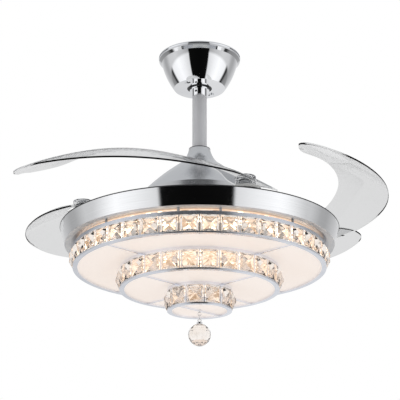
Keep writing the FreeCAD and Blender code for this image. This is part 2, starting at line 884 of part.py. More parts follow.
def spring_point(half_turn):
    low, high = spring_levels()
    z = between(low, high, half_turn / (2 * spring_turn_count))
    return polar(spring_coil_radius, 180 * half_turn, z)


def spring_heading(half_turn):
    low, high = spring_levels()
    climb = (high - low) / (spring_turn_count * 2 * math.pi * spring_coil_radius)
    return (polar(1, 180 * half_turn + 90) + UP * climb).normalize()


def return_spring():
    """Torsion spring round the pivot bolt: one tube on half-turn biarcs with straight ends."""
    lead = 2 * spring_wire_radius
    last = 2 * spring_turn_count
    start, end = spring_point(0), spring_point(last)
    level_start, level_end = polar(1, 90), polar(1, 180 * last + 90)
    edges = [Part.LineSegment(start - level_start * lead, start).toShape()]
    for half_turn in range(last):
        heading = level_start if half_turn == 0 else spring_heading(half_turn)
        arriving = level_end if half_turn == last - 1 else spring_heading(half_turn + 1)
        edges += biarc(spring_point(half_turn), heading, spring_point(half_turn + 1), arriving)
    edges.append(Part.LineSegment(end, end + level_end * lead).toShape())
    path = Part.Wire(edges)
    profile = Part.Wire(Part.Circle(start - level_start * lead, level_start, spring_wire_radius).toShape())
    return path.makePipeShell([profile], True, False)


def spring_self_gap():
    low, high = spring_levels()
    return (high - low) / spring_turn_count - 2 * spring_wire_radius


def return_springs():
    spring = return_spring()
    springs = []
    for place in pivot_places():
        copy = spring.copy()
        copy.translate(place)
        springs.append(copy)
    return springs


# Blades


def blade_section(turn_share, inner_share, outer_share, inner_rise_share, outer_rise_share):
    """Thin cambered strip across the blade, in an upright plane through the blade's centre."""
    angle = blade_root_angle - blade_turn_angle * turn_share
    centre = polar(blade_centre_distance, blade_centre_angle)
    radii = [between(blade_inner_radius, blade_outer_radius, share) for share in (inner_share, outer_share)]
    heights = [
        rim_z + between(blade_low_height, blade_high_height, share)
        for share in (inner_rise_share, outer_rise_share)
    ]
    camber = (radii[1] - radii[0]) * blade_camber_share
    places = [
        (radii[0], heights[0]), ((radii[0] + radii[1]) / 2, (heights[0] + heights[1]) / 2 + camber),
        (radii[1], heights[1]),
    ]
    upper = [centre + polar(r, angle, z) for r, z in places]
    lower = [point - UP * blade_thickness for point in upper]
    return Part.Wire([
        Part.Arc(*upper).toShape(), Part.LineSegment(upper[2], lower[2]).toShape(),
        Part.Arc(lower[2], lower[1], lower[0]).toShape(), Part.LineSegment(lower[0], upper[0]).toShape(),
    ])


def blade_plate():
    sections = [blade_section(*shares) for shares in blade_station_shares]
    return Part.makeLoft(sections, True, False)


def clear_blade():
    """Blade with its pivot boss, with the pivot on the X axis."""
    pivot = Vec(pivot_radius, 0, 0)
    boss_top = rim_z + boss_top_height
    head_seat = rim_z + pivot_head_seat_height
    plate = blade_plate()
    boss = rod(boss_radius, gear_top_z, boss_top, pivot)
    shape = plate.fuse(boss).removeSplitter()
    above = rim_z + blade_high_height + overrun
    return shape.cut([
        rod(boss_chamber_radius, gear_top_z - overrun, chamber_top_z(), pivot),
        rod(pivot_bolt_radius + running_clearance, gear_top_z, above, pivot),
        rod(boss_counterbore_radius, head_seat, above, pivot),
    ])


# Crystal tiers


def tier_z(tier):
    return tier_top_z - tier * tier_height


def tier_frame(tier):
    """Top and bottom rings with a post between each two crystals, and what carries the tier below."""
    top = tier_z(tier)
    bottom = top - tier_height
    outer = tier_radii[tier]
    inner = outer - tier_ring_width
    count = crystal_counts[tier]
    floor = bottom + tier_ring_thickness
    ceiling = top - top_ring_heights[tier]
    parts = [tube(outer, inner, ceiling, top), tube(outer, inner, bottom, floor)]
    post_depth = crystal_body
    post_centre = Vec(outer - post_depth / 2, 0, 0)
    post = block(Vec(post_depth, post_width, ceiling - floor), post_centre, floor)
    parts += around(post, count, 180 / count)
    if tier + 1 < len(tier_radii):
        next_outer = tier_radii[tier + 1]
        next_inner = next_outer - tier_ring_width - seat_width
        parts.append(tube(next_outer, next_inner, bottom, floor))
        length = inner - next_outer + spoke_bite
        middle = (inner + next_outer) / 2
        spoke = block(Vec(length, spoke_width, tier_ring_thickness), Vec(middle, 0, 0), bottom)
        parts += around(spoke, spoke_count, spoke_angle)
    else:
        across = block(Vec(2 * inner + spoke_bite, spoke_width, tier_ring_thickness), Vec(), bottom)
        parts.append(turned(across, spoke_angle))
    frame = parts[0].fuse(parts[1:]).removeSplitter()
    return frame.cut(frame_holes(tier, bottom, top))


def frame_holes(tier, bottom, top):
    """Holes for the screws in the top ring, and for the next tier's screws or the hook in the floor."""
    low, high = bottom - overrun, bottom + tier_ring_thickness + overrun
    if tier + 1 < len(tier_radii):
        holes = [rod(tier_screw_radius, low, high, place) for place in tier_screw_places(tier + 1)]
    else:
        holes = [rod(hook_stud_radius + running_clearance, low, high)]
    if tier > 0:
        low, high = top - tier_ring_thickness - overrun, top + overrun
        holes += [rod(tier_screw_radius, low, high, place) for place in tier_screw_places(tier)]
    return holes


def tier_screw_places(tier):
    circle = tier_radii[tier] - tier_screw_inset
    return [polar(circle, 360 * k / spoke_count) for k in range(spoke_count)]


def tier_screws(tier):
    """Screws from the upper tier's inner ring down into this tier's top ring."""
    seat = tier_z(tier) + tier_ring_thickness
    low = tier_z(tier) - tier_ring_thickness
    screws = []
    for place in tier_screw_places(tier):
        head = rod(tier_screw_head_radius, seat, seat + tier_screw_head_height, place)
        screws.append(head.fuse(rod(tier_screw_radius, low, seat, place)))
    return screws


def crystal_square(width, height, radius, middle_z):
    half_width, half_height = width / 2, height / 2
    corners = [(-1, -1), (1, -1), (1, 1), (-1, 1), (-1, -1)]
    return Part.makePolygon([Vec(radius, x * half_width, middle_z + z * half_height) for x, z in corners])


def crystals(tier):
    """Square cut crystals whose crown rises to a small table in four facets."""
    top = tier_z(tier) - top_ring_heights[tier] - slip_clearance
    bottom = tier_z(tier) - tier_height + tier_ring_thickness + slip_clearance
    height, middle = top - bottom, (top + bottom) / 2
    girdle = tier_radii[tier]
    side = 2 * (girdle - crystal_body) * math.tan(math.pi / crystal_counts[tier])
    width = side * crystal_fill_share
    outlines = (
        (crystal_girdle_share, girdle - crystal_body), (1, girdle),
        (crystal_table_share, girdle + crystal_crown),
    )
    sections = [
        crystal_square(width * share, height * share, radius, middle) for share, radius in outlines
    ]
    return around(Part.makeLoft(sections, True, True), crystal_counts[tier])


def diffuser(tier):
    floor = tier_z(tier) - tier_height + tier_ring_thickness
    outer = tier_radii[tier] - crystal_body - seat_gap - post_width
    if tier + 1 < len(tier_radii):
        inner = tier_radii[tier + 1] - seat_width + seat_gap
    else:
        inner = hook_nut_radius + seat_gap
    return tube(outer, inner, floor, floor + diffuser_thickness)


def tier_1_led_board():
    outer = tier_1_radius - tier_1_board_inset
    return tube(outer, outer - tier_1_board_width, pan_bottom_z - board_thickness, pan_bottom_z)


def lower_led_board(tier):
    """Disc that rests on the ring above its tier, with room for the tier's screws."""
    floor = tier_z(tier) + tier_ring_thickness
    outer = tier_radii[tier] - seat_width
    board = rod(outer, floor, floor + board_thickness)
    low, high = floor - overrun, floor + board_thickness + overrun
    head_radius = tier_screw_head_radius + slip_clearance
    return board.cut([rod(head_radius, low, high, place) for place in tier_screw_places(tier)])


def tier_1_spacers():
    circle = tier_radii[0] - tier_ring_width / 2
    angles = [360 * k / spoke_count + angle for k in range(spoke_count) for angle in spacer_angles]
    return [rod(spacer_radius, tier_top_z, pan_bottom_z, polar(circle, angle)) for angle in angles]


def drum_band():
    slope = (rim_radius - band_bottom_radius) / band_height
    lip_inner = band_bottom_radius - band_lip_width
    inner_bottom = band_bottom_radius - band_wall + slope * band_wall
    return revolved(chain(
        (rim_radius, rim_z), (band_bottom_radius, band_bottom_z), (lip_inner, band_bottom_z),
        (lip_inner, pan_bottom_z), (inner_bottom, pan_bottom_z), (rim_radius - band_wall, rim_z),
    ))


def drum_pan():
    outer = band_bottom_radius - band_wall
    return tube(outer, shaft_radius + running_clearance, pan_bottom_z, pan_top_z)


def led_driver():
    distance = band_bottom_radius - driver_rim_gap - driver_width / 2
    box = block(Vec(driver_length, driver_width, driver_height), Vec(0, distance, 0), pan_top_z)
    return box.makeFillet(driver_round, upright_edges(box))


def lamp_lead():
    """Lead through the hollow rod and shaft down to the second tier's board."""
    return rod(lead_radius, board_2_z + board_thickness, rod_top_z, Vec(0, lead_offset, 0))


# Hanging crystal


def eye(centre_z, axis):
    return Part.makeTorus(eye_radius, eye_wire_radius, Vec(0, 0, centre_z), axis)


def pendant_hook():
    floor = lamp_bottom_z + tier_ring_thickness
    nut_top = floor + hook_nut_height
    stud_bottom = eye_z + eye_radius
    stud = rod(hook_stud_radius, lamp_bottom_z, nut_top)
    neck = rod(eye_wire_radius, stud_bottom, lamp_bottom_z)
    nut = hexagon(hook_nut_radius, floor, nut_top)
    return stud.fuse([neck, nut, eye(eye_z, Vec(0, 1, 0))]).removeSplitter()


def pendant_link():
    """Long link in the plane across the hook's eye, bent round the hinge axes at both ends."""
    half = link_bend_radius
    upper, lower = link_top_z, link_bottom_z
    bends = [
        Part.Face(Part.Wire(Part.Circle(Vec(0, -half, level), UP, eye_wire_radius).toShape())).revolve(
            Vec(0, 0, level), Vec(turn, 0, 0), 180,
        )
        for level, turn in ((upper, -1), (lower, 1))
    ]
    sides = [rod(eye_wire_radius, lower, upper, Vec(0, side * half, 0)) for side in (-1, 1)]
    return bends[0].fuse(bends[1:] + sides).removeSplitter()


def ball_cap():
    cap = rod(cap_radius, ball_top_z, cap_top_z)
    neck = rod(eye_wire_radius, cap_top_z, cap_eye_z - eye_radius)
    return cap.fuse([neck, eye(cap_eye_z, Vec(0, 1, 0))]).removeSplitter()


def crystal_ball():
    """Faceted ball with a flat top under the cap: rings of corners joined by flat facets."""
    centre = ball_top_z + cap_seat_sink() - crystal_ball_radius
    first = math.degrees(math.asin(cap_radius / crystal_ball_radius))
    levels = [first + (180 - 2 * first) * k / crystal_ball_rows for k in range(crystal_ball_rows + 1)]
    rings = []
    for polar_angle in levels:
        ring_radius = crystal_ball_radius * math.sin(math.radians(polar_angle))
        z = centre + crystal_ball_radius * math.cos(math.radians(polar_angle))
        ring = [polar(ring_radius, 360 * k / crystal_ball_columns, z) for k in range(crystal_ball_columns)]
        rings.append(ring)
    faces = [flat(rings[0]), flat(rings[-1])]
    for upper, lower in zip(rings, rings[1:]):
        for k in range(crystal_ball_columns):
            after = (k + 1) % crystal_ball_columns
            faces.append(flat([upper[k], upper[after], lower[after], lower[k]]))
    return Part.Solid(Part.Shell(faces))


def cap_seat_sink():
    """How far the ball's flat top lies under its full height."""
    return crystal_ball_radius - math.sqrt(crystal_ball_radius**2 - cap_radius**2)


def flat(corners):
    return Part.Face(Part.makePolygon(corners + corners[:1]))


def export_mount():
    export("hanger_bracket", hanger_bracket())
    export("canopy", canopy())
    export("canopy_screws", *canopy_screws())
    export("receiver_box", receiver_box())


def export_hanger():
    export("hanger_ball", hanger_ball())
    export("ball_pin", ball_pin())
    export("downrod", downrod())
    export("rod_collar", rod_collar())
    export("coupling", coupling())
    export("coupling_bolt", coupling_bolt())
    export("coupling_cover", coupling_cover())
    export("cover_gasket", cover_gasket())
    export("top_cover", top_cover())
    export("top_cover_screws", *top_cover_screws())
    export("motor_shaft", motor_shaft())
    export("stator_core", stator_core())
    export("stator_windings", *stator_windings())
    export("drum_band", drum_band())
    export("drum_pan", drum_pan())
    export("shaft_nut", shaft_nut())
    export("led_driver", led_driver())
    export("lamp_lead", lamp_lead())


def export_lamp():
    for tier in range(len(tier_radii)):
        name = "tier_" + str(tier + 1)
        export(name + "_frame", tier_frame(tier))
        export(name + "_crystals", *crystals(tier))
        export(name + "_diffuser", diffuser(tier))
        if tier > 0:
            export(name + "_led_board", lower_led_board(tier))
            export(name + "_screws", *tier_screws(tier))
    export("tier_1_led_board", tier_1_led_board())
    export("tier_1_spacers", *tier_1_spacers())
    export("pendant_hook", pendant_hook())
    export("pendant_link", pendant_link())
    export("ball_cap", ball_cap())
    export("crystal_ball", crystal_ball())


def export_rotor():
    export("rotor_lower_shell", rotor_lower_shell())
    export("rotor_upper_shell", rotor_upper_shell())
    export("rotor_magnets", *rotor_magnets())
    export("lower_bearing", bearing(lower_bearing_z()))
    export("upper_bearing", bearing(upper_bearing_z()))
    export("blade_carrier", blade_carrier())
    export("carrier_screws", *carrier_screws())
    export("pivot_bolts", *pivot_bolts())
    export("pivot_nuts", *pivot_nuts())
    export("return_springs", *return_springs())
    export("sync_ring", sync_ring())
    blade = clear_blade()
    for index in range(blade_count):
        export("blade_" + str(index + 1), turned(blade, blade_angle(index)))
        export("blade_gear_" + str(index + 1), blade_gear(index))


def main():
    os.makedirs("parts", exist_ok=True)
    export_mount()
    export_hanger()
    export_lamp()
    export_rotor()
    print("least gap between the spring's turns: %.2f mm" % spring_self_gap())


main()
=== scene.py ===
import math

import bmesh
import bpy
from mathutils import Matrix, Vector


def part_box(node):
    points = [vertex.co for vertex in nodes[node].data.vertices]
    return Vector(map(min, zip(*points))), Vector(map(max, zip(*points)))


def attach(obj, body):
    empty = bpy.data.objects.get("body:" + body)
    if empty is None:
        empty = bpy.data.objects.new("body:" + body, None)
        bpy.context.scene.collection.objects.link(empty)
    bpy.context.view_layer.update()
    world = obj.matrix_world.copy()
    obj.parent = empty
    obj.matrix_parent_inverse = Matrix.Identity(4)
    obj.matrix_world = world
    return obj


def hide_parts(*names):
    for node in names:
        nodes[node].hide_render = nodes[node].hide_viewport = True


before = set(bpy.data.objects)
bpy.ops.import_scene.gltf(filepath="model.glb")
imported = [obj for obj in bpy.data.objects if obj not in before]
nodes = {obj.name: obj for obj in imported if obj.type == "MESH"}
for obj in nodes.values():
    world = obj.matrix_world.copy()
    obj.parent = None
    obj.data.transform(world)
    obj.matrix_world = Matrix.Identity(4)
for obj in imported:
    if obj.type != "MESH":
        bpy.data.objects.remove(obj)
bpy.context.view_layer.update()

# The photograph's camera
PHOTO_PIXELS = 400
FOCAL_PIXELS = 1351
SENSOR_MM = 36.0
CAMERA_PLACE = (0.0008, -2.317, -1.079)
CAMERA_PITCH = 18.9
CLIP_START = 0.05

# The studio
FLOOR_LEVEL = -4.6
FLOOR_RADIUS = 1.5
FLOOR_SIDES = 64
FLOOR_COLOUR = (0.9, 0.9, 0.9, 1)
FLOOR_ROUGHNESS = 0.9
BACKDROP = (1.0, 1.0, 1.0, 1)
COOL_TINT = 1.01
SIDE_SHIFT = 0.04
SIDE_LIGHT = (
    (0.0, 0.003), (0.168, 0.004), (0.18, 0.42), (0.28, 0.60), (0.42, 0.72), (0.57, 0.66),
    (0.65, 0.44), (0.70, 0.42), (0.78, 0.56), (0.88, 0.70), (1.0, 0.86),
)
LOW_SIDE_LIGHT = (
    (0.0, 0.003), (0.16, 0.004), (0.175, 0.80), (0.28, 1.0), (0.38, 1.15), (0.54, 1.0),
    (0.575, 0.03), (0.60, 0.04), (0.64, 0.26), (0.78, 0.34), (0.90, 0.46), (1.0, 0.80),
)
LOW_LEVELS = (-0.12, -0.05)
UPPER_LEVELS = (0.25, 0.75)
LOWEST_LEVELS = (-0.999, -0.96)
UPPER_LIGHT = (0.62, 0.63, 0.65, 1)
LOWER_LIGHT = (0.9, 0.9, 0.9, 1)

# Trim that is only modelled here, in metres
SPIN_STEPS = 192
MERGE_DISTANCE = 0.000001
RIM_RADIUS = 0.25
RIM_LEVEL = -0.345
NECK_RADIUS = 0.0195
NECK_LEVEL = -0.188
EDGE_BEAD_RADIUS = 0.0011
EDGE_BEAD_INSET = 0.0008
BEAD_SIDES = 12
STRIP_INNER_RADIUS = 0.2135
STRIP_WIDTH = 0.0052
STRIP_THICKNESS = 0.0012
PAN_LEVEL = -0.3745
ROD_POLISH_LEVEL = -0.0835
POLISH_EDGE = 0.0005
LIP_FACING = (-0.95, -0.8)
POLISH_ROUGHNESS = 0.06
MATT_ROUGHNESS = 0.55

# Crystals, in metres
CRYSTAL_COUNTS = (42, 26, 11)
TIER_RADII = (0.2255, 0.14191, 0.05739)
CRYSTAL_BODY = 0.0036
CRYSTAL_FILL = 0.86
CROWN_HEIGHT = 0.0072
CROWN_SWELL = 0.0007
TABLE_SHARE = 0.16
BACK_SHARE = 0.72
BACK_DEPTH = 0.0026


def photo_camera():
    lens = bpy.data.cameras.new("photo_camera")
    lens.sensor_width = SENSOR_MM
    lens.lens = SENSOR_MM * FOCAL_PIXELS / PHOTO_PIXELS
    lens.clip_start = CLIP_START
    camera = bpy.data.objects.new("photo_camera", lens)
    camera.location = CAMERA_PLACE
    camera.rotation_euler = (math.radians(90 + CAMERA_PITCH), 0, 0)
    bpy.context.scene.collection.objects.link(camera)
    bpy.context.scene.camera = camera


# Node helpers


class Tree:
    """A node tree with short ways to add and join nodes."""

    def __init__(self, tree):
        self.tree = tree

    def add(self, kind, inputs=None, **settings):
        node = self.tree.nodes.new(kind)
        for name, value in settings.items():
            setattr(node, name, value)
        for name, value in (inputs or {}).items():
            if isinstance(value, bpy.types.NodeSocket):
                self.tree.links.new(value, node.inputs[name])
            else:
                node.inputs[name].default_value = value
        return node

    def link(self, output, target):
        self.tree.links.new(output, target)

    def mix(self, factor, first, second):
        node = self.add("ShaderNodeMix", data_type="RGBA")
        for socket, value in zip((node.inputs[0], node.inputs[6], node.inputs[7]), (factor, first, second)):
            if isinstance(value, bpy.types.NodeSocket):
                self.link(value, socket)
            else:
                socket.default_value = value
        return node.outputs[2]

    def spread(self, value, low, high, start=0.0, end=1.0):
        node = self.add("ShaderNodeMapRange", {
            "Value": value, "From Min": start, "From Max": end, "To Min": low, "To Max": high,
        })
        return node.outputs["Result"]

    def math(self, operation, first, second=0.0):
        node = self.add("ShaderNodeMath", operation=operation)
        for socket, value in zip(node.inputs, (first, second)):
            if isinstance(value, bpy.types.NodeSocket):
                self.link(value, socket)
            else:
                socket.default_value = value
        return node.outputs[0]


def grey_ramp(tree, value, stops):
    """Colour ramp of cool greys, given as places and brightness."""
    ramp = tree.add("ShaderNodeValToRGB", {"Fac": value})
    while len(ramp.color_ramp.elements) < len(stops):
        ramp.color_ramp.elements.new(0.5)
    for element, (place, grey) in zip(ramp.color_ramp.elements, stops):
        element.position = place
        element.color = (grey, grey, grey * COOL_TINT, 1)
    return ramp.outputs["Color"]


def studio_world():
    """White backdrop, also through clear pieces; metal sees soft boxes and a dark gap behind the camera."""
    world = bpy.data.worlds.new("studio")
    bpy.context.scene.world = world
    world.use_nodes = True
    tree = Tree(world.node_tree)
    world.node_tree.nodes.clear()
    place = tree.add("ShaderNodeTexCoord")
    axes = tree.add("ShaderNodeSeparateXYZ", {"Vector": place.outputs["Generated"]})
    toward = tree.math("MULTIPLY", axes.outputs["Y"], -1.0)
    bearing = tree.math("ADD", tree.math("ARCTAN2", axes.outputs["X"], toward), SIDE_SHIFT)
    turn = tree.math("ABSOLUTE", bearing)
    half_turn = tree.math("DIVIDE", turn, math.pi)
    level = tree.spread(axes.outputs["Z"], 1.0, 0.0, *LOW_LEVELS)
    upper_sides = grey_ramp(tree, half_turn, SIDE_LIGHT)
    lower_sides = grey_ramp(tree, half_turn, LOW_SIDE_LIGHT)
    sides = tree.mix(level, upper_sides, lower_sides)
    height = tree.spread(axes.outputs["Z"], 0.0, 1.0, *UPPER_LEVELS)
    low = tree.spread(axes.outputs["Z"], 1.0, 0.0, *LOWEST_LEVELS)
    side = tree.mix(height, sides, UPPER_LIGHT)
    around = tree.mix(low, side, LOWER_LIGHT)
    light = tree.add("ShaderNodeLightPath")
    straight = tree.math("MAXIMUM", light.outputs["Is Camera Ray"], light.outputs["Is Transmission Ray"])
    seen = tree.mix(straight, around, BACKDROP)
    shade = tree.add("ShaderNodeBackground", {"Color": seen, "Strength": 1.0})
    out = tree.add("ShaderNodeOutputWorld")
    tree.link(shade.outputs["Background"], out.inputs["Surface"])


def studio_floor():
    bm = bmesh.new()
    bmesh.ops.create_circle(bm, cap_ends=True, segments=FLOOR_SIDES, radius=FLOOR_RADIUS)
    bmesh.ops.translate(bm, verts=bm.verts, vec=(0, 0, FLOOR_LEVEL))
    mesh = bpy.data.meshes.new("floor")
    bm.to_mesh(mesh)
    bm.free()
    floor = bpy.data.objects.new("floor", mesh)
    bpy.context.scene.collection.objects.link(floor)
    finish = bpy.data.materials.new("pale_floor")
    finish.use_nodes = True
    shader = finish.node_tree.nodes["Principled BSDF"]
    shader.inputs["Base Color"].default_value = FLOOR_COLOUR
    shader.inputs["Roughness"].default_value = FLOOR_ROUGHNESS
    mesh.materials.append(finish)


# Shared effects


def effect_group(name, inputs, outputs):
    group = bpy.data.node_groups.new(name, "ShaderNodeTree")
    for label, default in inputs:
        kind = "NodeSocketVector" if isinstance(default, tuple) else "NodeSocketFloat"
        socket = group.interface.new_socket(label, in_out="INPUT", socket_type=kind)
        socket.default_value = default
    for label in outputs:
        group.interface.new_socket(label, in_out="OUTPUT", socket_type="NodeSocketFloat")
    tree = Tree(group)
    return group, tree, tree.add("NodeGroupInput"), tree.add("NodeGroupOutput")


def handling_marks():
    """Cloudy smudges and hair scratches, each as a mask from 0 to 1."""
    group, tree, given, out = effect_group(
        "handling_marks", (("Cloud Scale", 14.0), ("Scratch Scale", 260.0)), ("Smudge", "Scratch"),
    )
    place = tree.add("ShaderNodeTexCoord").outputs["Object"]
    cloud = tree.add("ShaderNodeTexNoise", {
        "Vector": place, "Scale": given.outputs["Cloud Scale"], "Detail": 4.0, "Roughness": 0.6,
    })
    fine = tree.add("ShaderNodeTexNoise", {
        "Vector": place, "Scale": given.outputs["Scratch Scale"], "Detail": 2.0, "Roughness": 0.5,
    })
    tree.link(tree.spread(cloud.outputs["Fac"], low=0.0, high=1.0, start=0.35, end=0.7), out.inputs["Smudge"])
    tree.link(tree.spread(fine.outputs["Fac"], low=0.0, high=1.0, start=0.3, end=0.75), out.inputs["Scratch"])
    return group


def drawn_lines():
    """Fine lines left by brushing or drawing: noise stretched along the strokes."""
    group, tree, given, out = effect_group(
        "drawn_lines", (("Stretch", (1.0, 1.0, 60.0)), ("Scale", 30.0)), ("Lines",),
    )
    place = tree.add("ShaderNodeTexCoord").outputs["Object"]
    stretched = tree.add("ShaderNodeVectorMath", operation="MULTIPLY")
    tree.link(place, stretched.inputs[0])
    tree.link(given.outputs["Stretch"], stretched.inputs[1])
    grain = tree.add("ShaderNodeTexNoise", {
        "Vector": stretched.outputs[0], "Scale": given.outputs["Scale"], "Detail": 3.0, "Roughness": 0.65,
    })
    tree.link(tree.spread(grain.outputs["Fac"], low=0.0, high=1.0, start=0.3, end=0.7), out.inputs["Lines"])
    return group


MARKS = handling_marks()
LINES = drawn_lines()


class Finish:
    """One material: its principled shader and the shared effects placed in it."""

    def __init__(self, name, **constants):
        self.material = bpy.data.materials.new(name)
        self.material.use_nodes = True
        self.tree = Tree(self.material.node_tree)
        self.shader = self.material.node_tree.nodes["Principled BSDF"]
        for label, value in constants.items():
            self.shader.inputs[label.replace("_", " ")].default_value = value

    def marks(self, cloud, scratch):
        node = self.tree.add("ShaderNodeGroup", node_tree=MARKS)
        node.inputs["Cloud Scale"].default_value = cloud
        node.inputs["Scratch Scale"].default_value = scratch
        return node.outputs["Smudge"], node.outputs["Scratch"]

    def lines(self, stretch, scale):
        node = self.tree.add("ShaderNodeGroup", node_tree=LINES)
        node.inputs["Stretch"].default_value = stretch
        node.inputs["Scale"].default_value = scale
        return node.outputs["Lines"]

    def colour(self, mask, first, second, target="Base Color"):
        self.tree.link(self.tree.mix(mask, (*first, 1), (*second, 1)), self.shader.inputs[target])

    def rough(self, mask, low, high):
        self.tree.link(self.tree.spread(mask, low, high), self.shader.inputs["Roughness"])

    def blend_rough(self, mask, first, second):
        node = self.tree.add("ShaderNodeMix", {"Factor": mask, "A": first, "B": second})
        self.tree.link(node.outputs["Result"], self.shader.inputs["Roughness"])

    def bump(self, mask, depth, strength):
        node = self.tree.add("ShaderNodeBump", {"Height": mask, "Distance": depth, "Strength": strength})
        self.tree.link(node.outputs["Normal"], self.shader.inputs["Normal"])


# Finishes


def polished_chrome():
    finish = Finish("polished_chrome", Metallic=1.0)
    smudge, scratch = finish.marks(cloud=18.0, scratch=320.0)
    finish.colour(smudge, first=(0.88, 0.89, 0.90), second=(0.82, 0.83, 0.85))
    finish.rough(smudge, low=0.035, high=0.075)
    finish.bump(scratch, depth=0.00002, strength=0.08)
    return finish.material


def spun_chrome():
    """The drum's band: bright chrome with fine lines running round it, left matt under its lower lip."""
    finish = Finish("spun_chrome", Metallic=1.0)
    lines = finish.lines(stretch=(0.6, 0.6, 90.0), scale=22.0)
    facing = finish.tree.add("ShaderNodeTexCoord").outputs["Normal"]
    upward = finish.tree.add("ShaderNodeSeparateXYZ", {"Vector": facing}).outputs["Z"]
    under = finish.tree.spread(upward, 1.0, 0.0, *LIP_FACING)
    finish.blend_rough(under, finish.tree.spread(lines, low=0.04, high=0.09), MATT_ROUGHNESS)
    finish.colour(lines, first=(0.90, 0.91, 0.92), second=(0.80, 0.81, 0.82))
    finish.bump(lines, depth=0.00003, strength=0.1)
    return finish.material


def ring_chrome():
    """Frames of the tiers: thin cool chrome plating."""
    finish = Finish("ring_chrome", Metallic=1.0)
    smudge, scratch = finish.marks(cloud=26.0, scratch=360.0)
    finish.colour(smudge, first=(0.86, 0.89, 0.95), second=(0.80, 0.83, 0.90))
    finish.rough(smudge, low=0.20, high=0.28)
    finish.bump(scratch, depth=0.00002, strength=0.08)
    return finish.material


def satin_chrome():
    """Dome and neck: chrome with a soft even sheen."""
    finish = Finish("satin_chrome", Metallic=1.0)
    smudge, scratch = finish.marks(cloud=10.0, scratch=900.0)
    finish.colour(smudge, first=(0.73, 0.74, 0.75), second=(0.69, 0.70, 0.71))
    finish.rough(scratch, low=0.23, high=0.28)
    finish.bump(scratch, depth=0.00001, strength=0.05)
    return finish.material


def drawn_steel():
    """Shafts and fasteners: steel with hairlines along the axis."""
    finish = Finish("drawn_steel", Metallic=1.0)
    lines = finish.lines(stretch=(60.0, 60.0, 1.5), scale=20.0)
    finish.colour(lines, first=(0.70, 0.71, 0.72), second=(0.56, 0.57, 0.59))
    finish.rough(lines, low=0.24, high=0.38)
    finish.bump(lines, depth=0.00003, strength=0.15)
    return finish.material


def rod_steel():
    """The rod: satin along its length with a short polished stretch under the canopy."""
    finish = Finish("rod_steel", Metallic=1.0)
    lines = finish.lines(stretch=(60.0, 60.0, 1.5), scale=20.0)
    place = finish.tree.add("ShaderNodeTexCoord").outputs["Object"]
    height = finish.tree.add("ShaderNodeSeparateXYZ", {"Vector": place}).outputs["Z"]
    edges = (ROD_POLISH_LEVEL - POLISH_EDGE, ROD_POLISH_LEVEL + POLISH_EDGE)
    polish = finish.tree.spread(height, 0.0, 1.0, *edges)
    finish.blend_rough(polish, finish.tree.spread(lines, low=0.82, high=0.92), POLISH_ROUGHNESS)
    finish.colour(lines, first=(0.98, 0.98, 0.985), second=(0.93, 0.93, 0.94))
    finish.bump(lines, depth=0.00002, strength=0.05)
    return finish.material


def plated_sheet():
    finish = Finish("plated_sheet", Metallic=1.0)
    smudge, scratch = finish.marks(cloud=30.0, scratch=200.0)
    finish.colour(smudge, first=(0.66, 0.67, 0.69), second=(0.61, 0.62, 0.64))
    finish.rough(smudge, low=0.34, high=0.42)
    finish.bump(scratch, depth=0.00005, strength=0.2)
    return finish.material


def bracket_painted_shade():
    """The hanger bracket: steel coloured near black, painted shade for the dark gap around it."""
    finish = Finish("bracket_painted_shade", Metallic=0.0, IOR=1.5)
    smudge, scratch = finish.marks(cloud=30.0, scratch=240.0)
    # Near-black colour is painted shade for the dark gap round the bracket.
    finish.colour(smudge, first=(0.03, 0.03, 0.032), second=(0.05, 0.05, 0.052))
    finish.rough(scratch, low=0.35, high=0.5)
    finish.bump(scratch, depth=0.00005, strength=0.2)
    return finish.material


def cast_alloy():
    finish = Finish("cast_alloy", Metallic=1.0)
    smudge, scratch = finish.marks(cloud=40.0, scratch=500.0)
    finish.colour(smudge, first=(0.60, 0.61, 0.62), second=(0.50, 0.51, 0.53))
    finish.rough(scratch, low=0.45, high=0.62)
    finish.bump(scratch, depth=0.0002, strength=0.3)
    return finish.material


def laminated_core():
    finish = Finish("laminated_core", Metallic=1.0)
    lines = finish.lines(stretch=(1.0, 1.0, 300.0), scale=10.0)
    finish.colour(lines, first=(0.24, 0.24, 0.25), second=(0.12, 0.12, 0.13))
    finish.rough(lines, low=0.45, high=0.6)
    finish.bump(lines, depth=0.0001, strength=0.3)
    return finish.material


def enamelled_copper():
    finish = Finish("enamelled_copper", Metallic=1.0)
    lines = finish.lines(stretch=(90.0, 90.0, 3.0), scale=18.0)
    finish.colour(lines, first=(0.75, 0.40, 0.20), second=(0.48, 0.22, 0.10))
    finish.rough(lines, low=0.22, high=0.38)
    finish.bump(lines, depth=0.0002, strength=0.4)
    return finish.material


def moulded_plastic(name, first, second, low, high):
    finish = Finish(name, IOR=1.5)
    smudge, scratch = finish.marks(cloud=24.0, scratch=900.0)
    finish.colour(smudge, first, second)
    finish.rough(scratch, low, high)
    finish.bump(scratch, depth=0.00006, strength=0.2)
    return finish.material


def clear_blade_plastic():
    finish = Finish("clear_blade_plastic", Transmission_Weight=1.0, IOR=1.11)
    smudge = finish.marks(cloud=9.0, scratch=300.0)[0]
    finish.colour(smudge, first=(0.715, 0.718, 0.722), second=(0.70, 0.703, 0.707))
    finish.rough(smudge, low=0.0, high=0.012)
    return finish.material


def cut_crystal():
    finish = Finish("cut_crystal", Transmission_Weight=1.0, IOR=1.6)
    smudge, scratch = finish.marks(cloud=60.0, scratch=700.0)
    # The smudge clouds are partly real handling marks, which also roughen the glass, and partly painted
    # glint: their amber tint stands in for warm lamp light glinting in the crystal.
    finish.colour(smudge, first=(0.97, 0.93, 0.90), second=(0.84, 0.74, 0.64))
    finish.rough(smudge, low=0.0, high=0.015)
    finish.bump(scratch, depth=0.000005, strength=0.03)
    return finish.material


